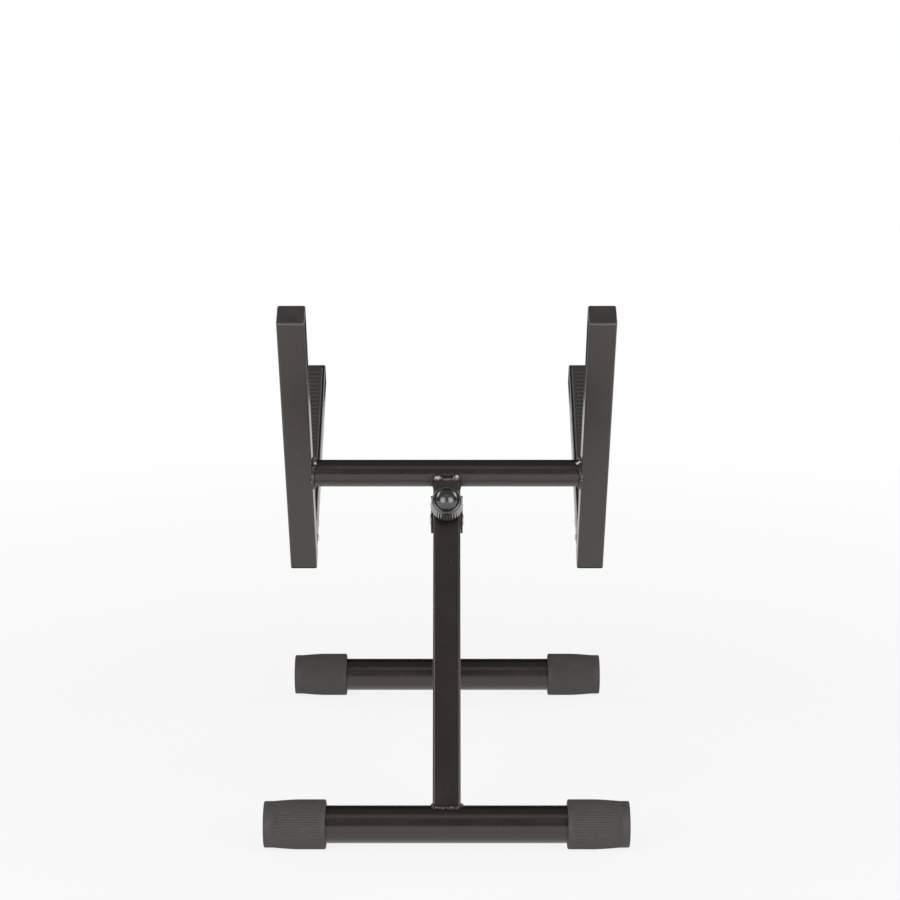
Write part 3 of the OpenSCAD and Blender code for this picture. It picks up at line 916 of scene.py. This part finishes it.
def spline_object(name, lines):
    """A curve object of plain polylines, each given with whether it is closed."""
    curve = bpy.data.curves.new(name, "CURVE")
    curve.dimensions = "3D"
    for points, closed in lines:
        spline = curve.splines.new("POLY")
        spline.points.add(len(points) - 1)
        for target, point in zip(spline.points, points):
            target.co = (*point, 1)
        spline.use_cyclic_u = closed
    thing = bpy.data.objects.new(name, curve)
    bpy.context.scene.collection.objects.link(thing)
    return thing


def weld(name, body, lines, radius, seed, lump=1.1, stray=1.6 * MM, finish=WELD_FINISH):
    """Weld beads of one size along lines, on one body."""
    beads = grown(name, spline_object(name + "_lines", lines), WELD, finish,
                  Bead_Radius=radius, Pitch=WELD_PITCH, Ripple=WELD_RIPPLE, Lump=lump,
                  Lump_Size=LUMP_SIZE, Stray=stray, Seed=float(seed))
    set_down(beads, Matrix.Identity(4), 80)
    carry(beads, body, "frame_steel", finish=finish)


def saddle(up, foot, reach, wide, deep):
    """A line round the end of a square leg, at a distance from a round tube's axis."""
    place = axes(up, foot)
    outline = rounded_square(TUBE, SADDLE_CORNER, 0)
    points = [(x * wide / TUBE, y * deep / TUBE) for x, y, _ in outline]
    return [place @ Vector((x, y, sqrt(reach ** 2 - y ** 2))) for x, y in points]


def circle(middle, out, radius, steps=48):
    """A closed line round an axis."""
    place = axes(out, middle, Vector((0, 0, 1)))
    return [place @ Vector(point) for point in ring(radius, 0, steps)]


def foot_welds():
    """Thick, uneven beads where the legs stand on their foot tubes."""
    reach = FOOT_R + 1.2 * MM
    for name, body, up, foot, seed in (
            ("rear_foot_weld", "rear_frame", REAR_UP, REAR_FOOT, 1),
            ("front_foot_weld", "front_leg_frame", FRONT_UP, FRONT_FOOT, 2)):
        line = saddle(up, foot, reach, wide=TUBE - 1.2 * MM, deep=TUBE + 0.4 * MM)
        weld(name, body, [(line, True)], 2.0 * MM, seed, lump=1.9, stray=2.6 * MM)


# Puddles where a weld starts or stops. What is given for the right is mirrored on the left.
PUDDLE_FLAT = 0.35              # thickness, as a share of a round bead's
PUDDLE_RIPPLE, PUDDLE_LUMP, PUDDLE_STRAY = 0.12, 0.5, 0.8 * MM
LEG_PUDDLES = (                 # name, side, along, seed
    ("rear_leg_weld_start", LEFT, X_AXIS, 7),
    ("rear_leg_weld_stop", RIGHT, Vector((0.57, 0, 0.82)), 8))
LEG_PUDDLE_LENGTH, LEG_PUDDLE_R = 8.5 * MM, 3.1 * MM
LEG_PUDDLE_PLACE = 8.8 * MM, 12.3 * MM, 8.8 * MM        # across, out and down from the crossbar
LEG_PUDDLE_FACING = 0.33, -0.93, 0.24
BAR_PUDDLES = (                 # side, way in from it, up round the bar, length, radius, along, seed
    ("left", 1.8 * MM, radians(54), 5.2 * MM, 2.2 * MM, X_AXIS, 9),
    ("right", 2.5 * MM, radians(57), 7.2 * MM, 1.6 * MM, Vector((0.85, 0, 0.53)), 10))
BAR_PUDDLE_OUT = 1.0 * MM       # from the crossbar's surface
BAR_PUDDLE_FACING = -0.37, -0.90, 0.24


def on_side(sign, place):
    """A place or direction that is given for the right, on either side."""
    return Vector((sign * place[0], *place[1:]))


def weld_puddle(name, middle, facing, along, length, radius, seed):
    """A flat, shiny puddle where a weld starts or stops."""
    steps = [length * (i / 4 - 0.5) for i in range(5)]
    line = spline_object(name + "_line", [([(x, 0, 0) for x in steps], False)])
    puddle = grown(name, line, WELD, WET_FINISH, Bead_Radius=radius, Pitch=WELD_PITCH,
                   Ripple=PUDDLE_RIPPLE, Lump=PUDDLE_LUMP, Lump_Size=LUMP_SIZE,
                   Stray=PUDDLE_STRAY, Seed=float(seed))
    set_down(puddle, axes(facing, middle, along) @ Matrix.Diagonal((1, 1, PUDDLE_FLAT, 1)), 80)
    carry(puddle, "rear_frame", "frame_steel", finish=WET_FINISH)


def crossbar_welds():
    """Beads and puddles under the crossbar, round the leg's top, and round both its ends."""
    reach = CROSSBAR_R + 1.6 * MM
    top = saddle(-REAR_UP, CROSSBAR, reach, wide=TUBE - 5 * MM, deep=TUBE - 3.8 * MM)
    weld("rear_leg_top_weld", "rear_frame", [(top, True)], 2.5 * MM, 3, lump=1.7, stray=2.2 * MM)
    leg_top = axes(-REAR_UP, CROSSBAR)
    for name, sign, along, seed in LEG_PUDDLES:
        weld_puddle(name, leg_top @ on_side(sign, LEG_PUDDLE_PLACE), on_side(sign, LEG_PUDDLE_FACING),
                    along, LEG_PUDDLE_LENGTH, LEG_PUDDLE_R, seed)
    rings = []
    out = CROSSBAR_R + BAR_PUDDLE_OUT
    for side, inwards, up, length, radius, along, seed in BAR_PUDDLES:
        sign = SIDES[side]
        low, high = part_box(f"{side}_upright")
        end = Vector((high.x if sign == LEFT else low.x, CROSSBAR.y, CROSSBAR.z))
        rings.append((circle(end, X_AXIS, CROSSBAR_R + 0.4 * MM), True))
        middle = end + on_side(sign, (-inwards, -cos(up) * out, sin(up) * out))
        weld_puddle(f"crossbar_{side}_weld_stop", middle, on_side(sign, BAR_PUDDLE_FACING),
                    along, length, radius, seed)
    weld("crossbar_welds", "rear_frame", rings, 2.1 * MM, 4, lump=1.6, stray=2.2 * MM)


def hinge_welds():
    """Thin beads along the hinge bracket, in its corners with the leg, and round the boss."""
    place = axes(REAR_UP, centre("hinge_bracket"))
    low, high = extent("hinge_bracket", place)
    lines = [([place @ Vector((sign * (TUBE / 2 + 0.3 * MM), low.y - 0.3 * MM, z))
               for z in (low.z + 2 * MM, high.z - 2 * MM)], False) for sign in (LEFT, RIGHT)]
    # Its beads get the bracket's darker finish too: painted shade.
    weld("hinge_bracket_welds", "rear_frame", lines, 1.0 * MM, 5, lump=0.8, stray=0.5 * MM,
         finish=BRACKET_SHADED_FINISH)
    radius, _, foot = on_clamp("clamp_boss")
    line = circle(foot + CLAMP_OUT * 0.3 * MM, CLAMP_OUT, radius + 0.4 * MM)
    weld("clamp_boss_weld", "rear_frame", [(line, True)], 1.3 * MM, 6)


# ---- Stage: floor, world, dark cards and lamps ----

FLOOR_SIZE = 90.0
FLOOR_SHADE = 0.90
NEAR_GLOW = 0.85                # share of the floor's own white near the stand
FADE_START, FADE_WIDTH = 0.45, 1.2
ROOM_FOR_DIFFUSE = 0.40         # how much the white room lights the stand
CEILING_START, CEILING_BLEND = 0.30, 0.15       # heights, as the Z of a direction
WALL_TONE, CEILING_TONE = (1, 1, 1), (0.17, 0.165, 0.165)
CARDS = {                       # two ends on the floor, and the heights of both edges
    "card_behind_camera": ((-1.5, -3.2), (1.5, -3.2), 0.42, 2.9),
    "card_behind_stand": ((-0.45, 1.2), (0.45, 1.2), 0.15, 1.8),
    "card_at_left": ((-2.4, -1.2), (-2.4, 0.9), 0.1, 1.6),
    "card_at_right": ((2.4, -1.2), (2.4, 0.9), 0.1, 1.6),
}
LAMP_AIM = (0, 0, 0.25)


def ray_share(graph):
    """1 for rays from the camera and for what metal and glass show, else 0."""
    path = graph.add("ShaderNodeLightPath", output="Is Camera Ray")
    return (path + path.other("Is Glossy Ray") + path.other("Is Transmission Ray")).clamped()


def make_floor():
    """A pale floor that reads as white, and keeps a soft shadow around the stand."""
    half = FLOOR_SIZE / 2
    corners = [(-half, -half, 0), (half, -half, 0), (half, half, 0), (-half, half, 0)]
    floor = mesh_object("studio_floor", corners, [[0, 1, 2, 3]])
    paper = Finish("pale_floor", Base_Color=(FLOOR_SHADE, FLOOR_SHADE, FLOOR_SHADE, 1),
                   Roughness=0.9, Specular_IOR_Level=0.0)
    x = paper.add("ShaderNodeSeparateXYZ", None, {"Vector": paper.place}, "X")
    y = x.other("Y")
    far = (x * x + y * y).math("SQRT").above(FADE_START, FADE_WIDTH)
    share = ray_share(paper) * (NEAR_GLOW + far * (1 - NEAR_GLOW))
    glow = paper.add("ShaderNodeEmission", None, {"Color": (1, 1, 1, 1), "Strength": 1.0})
    shown = Value(paper, paper.surface.outputs["BSDF"])
    mixed = paper.add("ShaderNodeMixShader", None, {0: share, 1: shown, 2: glow})
    output = paper.tree.nodes["Material Output"]
    paper.tree.links.new(mixed.socket, output.inputs["Surface"])
    floor.data.materials.append(paper.material)


def make_cards():
    """Upright cards of black felt. Only gloss shows them, as dark bands."""
    felt = Finish("black_felt", Base_Color=(0.01, 0.01, 0.01, 1), Roughness=1.0,
                  Specular_IOR_Level=0.0)
    for name, (start, end, low, high) in CARDS.items():
        corners = [(*start, low), (*end, low), (*end, high), (*start, high)]
        card = mesh_object(name, corners, [[0, 1, 2, 3]])
        card.data.materials.append(felt.material)
        card.visible_camera = card.visible_diffuse = card.visible_shadow = False


def make_world():
    """A white room with a dim ceiling. The room lights the object only a little."""
    world = bpy.data.worlds.new("studio")
    world.use_nodes = True
    bpy.context.scene.world = world
    room = Graph(world.node_tree)
    background = world.node_tree.nodes["Background"]
    height = room.add("ShaderNodeSeparateXYZ", None,
                      {"Vector": room.add("ShaderNodeTexCoord", output="Generated")}, "Z")
    tone = room.mix(height.above(CEILING_START, CEILING_BLEND), WALL_TONE, CEILING_TONE)
    strength = ROOM_FOR_DIFFUSE + ray_share(room) * (1 - ROOM_FOR_DIFFUSE)
    room.tree.links.new(tone.socket, background.inputs["Color"])
    room.tree.links.new(strength.socket, background.inputs["Strength"])


def softbox(name, place, aim, width, height, radiance):
    """An area lamp, by the brightness of its face. The camera doesn't see it."""
    data = bpy.data.lights.new(name, "AREA")
    data.shape = "RECTANGLE"
    data.size, data.size_y = width, height
    data.energy = radiance * pi * width * height
    lamp = bpy.data.objects.new(name, data)
    lamp.location = place
    lamp.rotation_euler = (Vector(aim) - Vector(place)).to_track_quat("-Z", "Y").to_euler()
    lamp.visible_camera = False
    bpy.context.scene.collection.objects.link(lamp)


def make_lamps():
    """Two big softboxes in front, two rim lamps behind, and a dim softbox overhead."""
    for name, side in SIDES.items():
        softbox(f"{name}_softbox", (side * 1.35, -1.75, 0.9), LAMP_AIM,
                width=1.8, height=1.7, radiance=3.0)
        softbox(f"{name}_rim_lamp", (side * 1.6, 1.25, 1.1), LAMP_AIM,
                width=1.3, height=0.8, radiance=3.0)
    softbox("overhead_softbox", (0, -1.15, 2.2), (0, -1.15, 0), width=2.0, height=1.0, radiance=0.5)


# ---- The whole stand ----


def make_stand():
    """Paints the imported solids, and makes every piece that stands for one or is welded on."""
    for node, thing in frame["nodes"].items():
        thing.data.materials.clear()
        thing.data.materials.append(FINISHES[SLOT_OF[node]])
    for end in ("rear", "front"):
        for side, sign in SIDES.items():
            foot_cap(f"{end}_{side}_foot_cap", sign)
    knob_grip()
    knob_dome()
    clamp_screw()
    clamp_boss()
    for side in SIDES:
        end_plug(f"{side}_upright_top_plug", UPRIGHT_UP)
        end_plug(f"{side}_upright_bottom_plug", -UPRIGHT_UP)
        end_plug(f"{side}_shelf_end_plug", FORWARD)
        riveted_pin(f"{side}_shelf_pin")
        riveted_pin(f"{side}_shelf_stop_pin")
        shelf_pad(side)
    riveted_pin("leg_hinge_pin")
    hinge_bracket()
    shelf_lugs()
    foot_welds()
    crossbar_welds()
    hinge_welds()


make_camera()
make_floor()
make_cards()
make_world()
make_lamps()
make_stand()

bpy.context.scene.view_settings.view_transform = "Standard"
